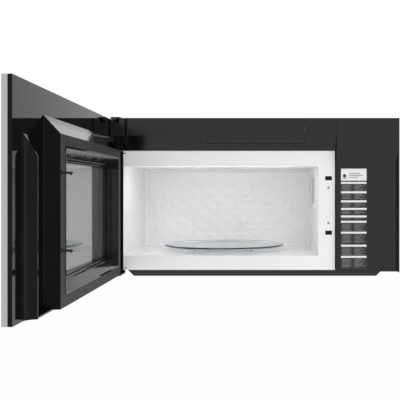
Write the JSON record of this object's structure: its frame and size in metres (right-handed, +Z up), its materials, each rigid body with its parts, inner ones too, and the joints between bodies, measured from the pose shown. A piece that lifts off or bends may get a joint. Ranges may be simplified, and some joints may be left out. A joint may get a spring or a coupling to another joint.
{
  "type": "over the range microwave",
  "caption": "Wall-hung microwave oven with a vent blower, lamps and filters below, a glass turntable and a full-width door hinged at the left, standing open.",
  "frame": {"origin": "middle of the wall plate's rear face, half way up the cabinet", "axes": "+X to the right as seen from the front, +Y towards the wall, +Z up"},
  "size_m": [0.7789, 1.1517, 0.4199],
  "materials": {
    "cabinet_black": "gloss",
    "moulding_black": "gloss",
    "matte_black": "matte",
    "stainless": "brushed",
    "zinc_steel": "satin",
    "white_enamel": "gloss",
    "dark_glass": "gloss",
    "clear_glass": "gloss",
    "winding": "satin",
    "circuit_board": "satin",
    "white_plastic": "satin",
    "mica": "matte",
    "charcoal": "matte",
    "aluminium": "satin"
  },
  "bodies": {
    "chassis": {"wall_plate": "zinc_steel", "back_panel": "zinc_steel", "outer_wrap": "cabinet_black", "cord_gland": "matte_black", "bottom_pan": "cabinet_black", "base_plate": "zinc_steel", "grease_filter_left": "aluminium", "grease_filter_right": "aluminium", "light_lens_left": "clear_glass", "light_lens_right": "clear_glass", "cooktop_lamp_left": "white_plastic", "cooktop_lamp_right": "white_plastic", "oven_cavity": "white_enamel", "waveguide_cover": "mica", "top_fascia": "moulding_black", "filter_access_panel": "moulding_black", "side_fascia": "moulding_black", "hinge_bracket_top": "cabinet_black", "hinge_bracket_bottom": "cabinet_black", "turntable_motor": "zinc_steel", "blower_housing": "zinc_steel", "blower_motor": "cabinet_black", "charcoal_filter": "charcoal", "waveguide": "zinc_steel", "magnetron": "aluminium", "cooling_fan_shroud": "matte_black", "cooling_fan_motor": "zinc_steel", "hv_transformer": "winding", "hv_capacitor": "aluminium", "control_board": "circuit_board", "latch_board": "white_plastic", "interlock_switches": "matte_black", "cavity_lamp": "white_plastic"},
    "door": {"door_frame": "stainless", "door_glass": "dark_glass", "door_screen": "cabinet_black", "door_back_cover": "moulding_black", "door_end_cover": "moulding_black", "door_window_glass": "dark_glass", "door_block_cover": "moulding_black", "door_choke_ring": "zinc_steel", "door_hinge_plate_top": "zinc_steel", "door_hinge_plate_bottom": "zinc_steel", "touch_board": "circuit_board", "latch_spring": "zinc_steel"},
    "latch": {"latch_lever": "matte_black"},
    "turntable": {"glass_tray": "clear_glass", "turntable_coupler": "white_plastic"},
    "roller_ring": {"roller_ring": "white_plastic"},
    "roller_1": {"roller_1": "white_plastic"},
    "roller_2": {"roller_2": "white_plastic"},
    "roller_3": {"roller_3": "white_plastic"},
    "vent_blower": {"blower_wheel_left": "matte_black", "blower_wheel_right": "matte_black", "blower_shaft": "zinc_steel"},
    "cooling_fan": {"cooling_fan_blade": "white_plastic"}
  },
  "joints": [
    {"name": "door_hinge", "type": "hinge", "parent": "chassis", "child": "door", "pos_m": [-0.3702, -0.402, 0], "axis": [0, 0, 1], "range_deg": [-15, 90]},
    {"name": "latch_slide", "type": "slide", "parent": "door", "child": "latch", "axis": [0, 0, 1], "range_m": [0, 0.0025], "stiffness_N_per_m": 250, "springref_m": -0.003, "deforming": ["latch_spring"]},
    {"name": "tray_spin", "type": "hinge", "parent": "chassis", "child": "turntable", "pos_m": [-0.0915, -0.197, -0.14], "axis": [0, 0, 1], "continuous": true},
    {"name": "ring_spin", "type": "hinge", "parent": "chassis", "child": "roller_ring", "pos_m": [-0.0915, -0.197, -0.14945], "axis": [0, 0, 1], "continuous": true},
    {"name": "roller_1_spin", "type": "hinge", "parent": "roller_ring", "child": "roller_1", "pos_m": [-0.0915, -0.105, -0.14945], "axis": [0, 1, 0], "continuous": true},
    {"name": "roller_2_spin", "type": "hinge", "parent": "roller_ring", "child": "roller_2", "pos_m": [-0.17117, -0.243, -0.14945], "axis": [-0.866, -0.5, 0], "continuous": true},
    {"name": "roller_3_spin", "type": "hinge", "parent": "roller_ring", "child": "roller_3", "pos_m": [-0.01183, -0.243, -0.14945], "axis": [0.866, -0.5, 0], "continuous": true},
    {"name": "vent_blower_spin", "type": "hinge", "parent": "chassis", "child": "vent_blower", "pos_m": [0, -0.067, 0.15015], "axis": [1, 0, 0], "continuous": true},
    {"name": "cooling_fan_spin", "type": "hinge", "parent": "chassis", "child": "cooling_fan", "pos_m": [0.2855, -0.05, 0.01695], "axis": [0, 1, 0], "continuous": true}
  ],
  "couplings": [
    {"joint": "ring_spin", "follows": "tray_spin", "ratio": 0.5}
  ]
}
